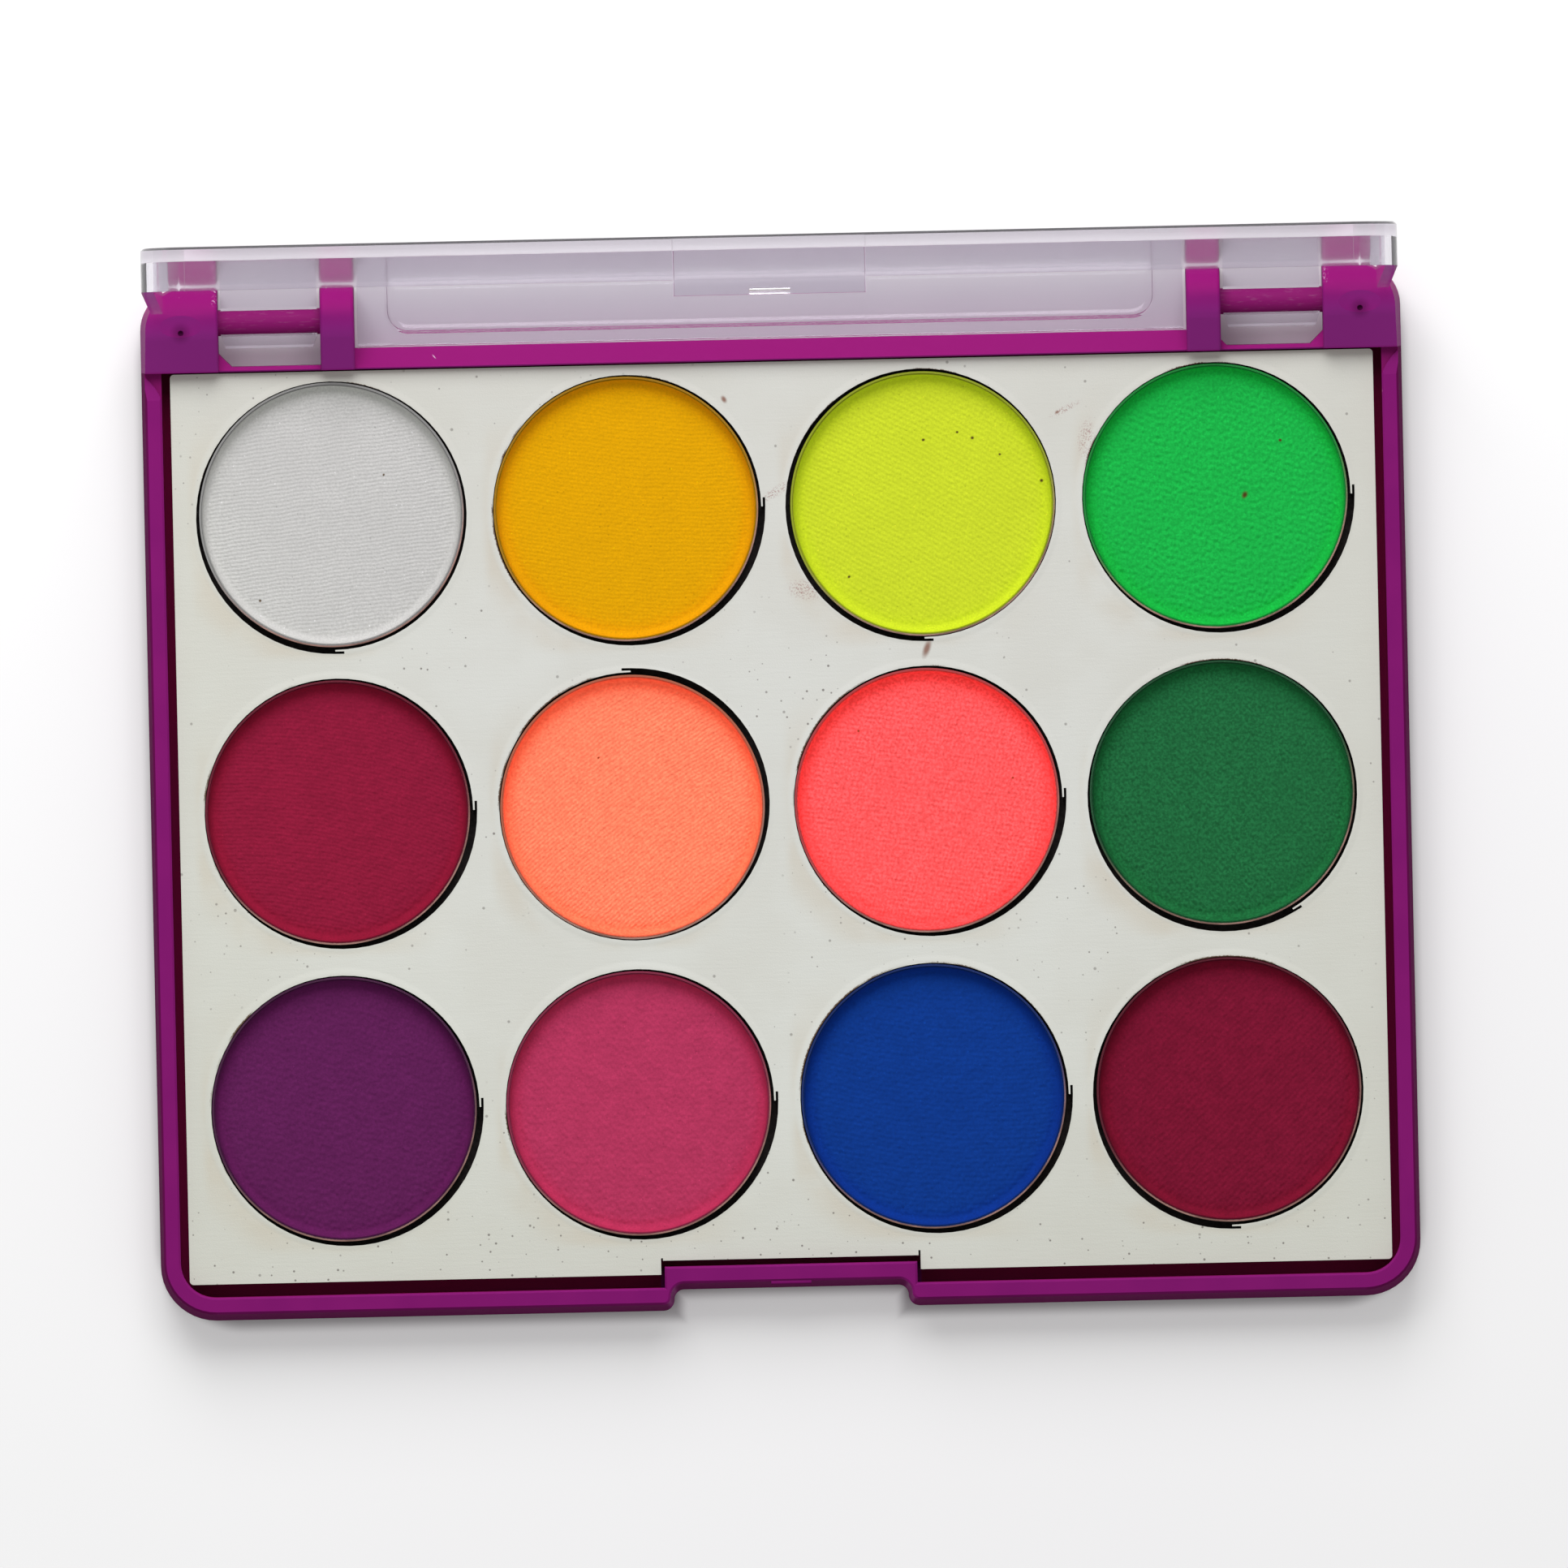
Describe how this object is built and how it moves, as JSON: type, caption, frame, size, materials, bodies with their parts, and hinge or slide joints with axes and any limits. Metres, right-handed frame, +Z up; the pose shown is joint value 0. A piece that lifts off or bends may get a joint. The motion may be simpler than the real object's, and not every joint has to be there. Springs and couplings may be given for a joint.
{
  "type": "pressed powder palette",
  "caption": "Shallow moulded palette with a clear clip-on hinged lid, open, and a cream board insert holding round metal pans of pressed colour powder.",
  "frame": {"origin": "on the tray's flat underside, below the centre of the pan grid", "axes": "+X to the right along the hinge, +Y from the thumb notch towards the hinge, +Z up; the lid stands open at rest"},
  "size_m": [0.1258, 0.1082, 0.1037],
  "materials": {
    "tray_plastic": "satin",
    "clear_plastic": "gloss",
    "cream_board": "matte",
    "card": "matte",
    "adhesive": "satin",
    "pan_metal": "satin",
    "powder_white": "matte",
    "powder_amber": "matte",
    "powder_lime": "matte",
    "powder_green": "matte",
    "powder_crimson": "matte",
    "powder_salmon": "matte",
    "powder_coral": "matte",
    "powder_pine": "matte",
    "powder_plum": "matte",
    "powder_rose": "matte",
    "powder_cobalt": "matte",
    "powder_maroon": "matte"
  },
  "bodies": {
    "case": {"tray": "tray_plastic", "insert_board": "cream_board", "backing_card": "card", "pan_adhesive": "adhesive", "pan_white": "pan_metal", "pan_amber": "pan_metal", "pan_lime": "pan_metal", "pan_green": "pan_metal", "pan_crimson": "pan_metal", "pan_salmon": "pan_metal", "pan_coral": "pan_metal", "pan_pine": "pan_metal", "pan_plum": "pan_metal", "pan_rose": "pan_metal", "pan_cobalt": "pan_metal", "pan_maroon": "pan_metal", "powder_white": "powder_white", "powder_amber": "powder_amber", "powder_lime": "powder_lime", "powder_green": "powder_green", "powder_crimson": "powder_crimson", "powder_salmon": "powder_salmon", "powder_coral": "powder_coral", "powder_pine": "powder_pine", "powder_plum": "powder_plum", "powder_rose": "powder_rose", "powder_cobalt": "powder_cobalt", "powder_maroon": "powder_maroon"},
    "lid": {"lid": "clear_plastic"}
  },
  "joints": [
    {"name": "lid_hinge", "type": "hinge", "parent": "case", "child": "lid", "pos_m": [0, 0.0491, 0.005], "axis": [1, 0, 0], "range_deg": [0, 92]}
  ]
}
